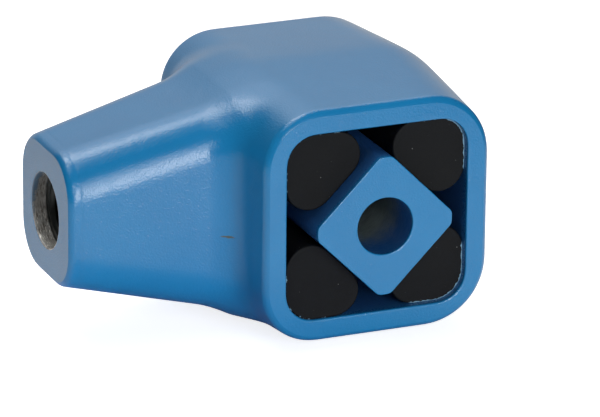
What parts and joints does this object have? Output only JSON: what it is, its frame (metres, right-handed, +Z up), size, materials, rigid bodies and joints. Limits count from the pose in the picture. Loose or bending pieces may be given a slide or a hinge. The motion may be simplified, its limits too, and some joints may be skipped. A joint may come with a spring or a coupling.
{
  "type": "torsional rubber mount",
  "caption": "Cast square housing with a tapered threaded neck; a bored square core turned 45 degrees sits in it on four squashed rubber cords.",
  "frame": {"origin": "centre of the core's bore, half way along it", "axes": "+Y along the bore, the neck and its tapped hole point to -X, +Z up"},
  "size_m": [0.1724, 0.1332, 0.1048],
  "materials": {
    "blue_paint": "gloss paint over cast light metal",
    "black_rubber": "matt"
  },
  "bodies": {
    "casing": {"housing": "blue_paint", "rubber_cord_upper_neck_side": "black_rubber", "rubber_cord_upper_far_side": "black_rubber", "rubber_cord_lower_neck_side": "black_rubber", "rubber_cord_lower_far_side": "black_rubber"},
    "core": {"core": "blue_paint"}
  },
  "joints": [
    {"name": "core_twist", "type": "hinge", "parent": "casing", "child": "core", "pos_m": [0, 0, 0], "axis": [0, 1, 0], "range_deg": [-10, 10], "stiffness_Nm_per_rad": 665, "deforming": ["rubber_cord_upper_neck_side", "rubber_cord_upper_far_side", "rubber_cord_lower_neck_side", "rubber_cord_lower_far_side"]}
  ]
}
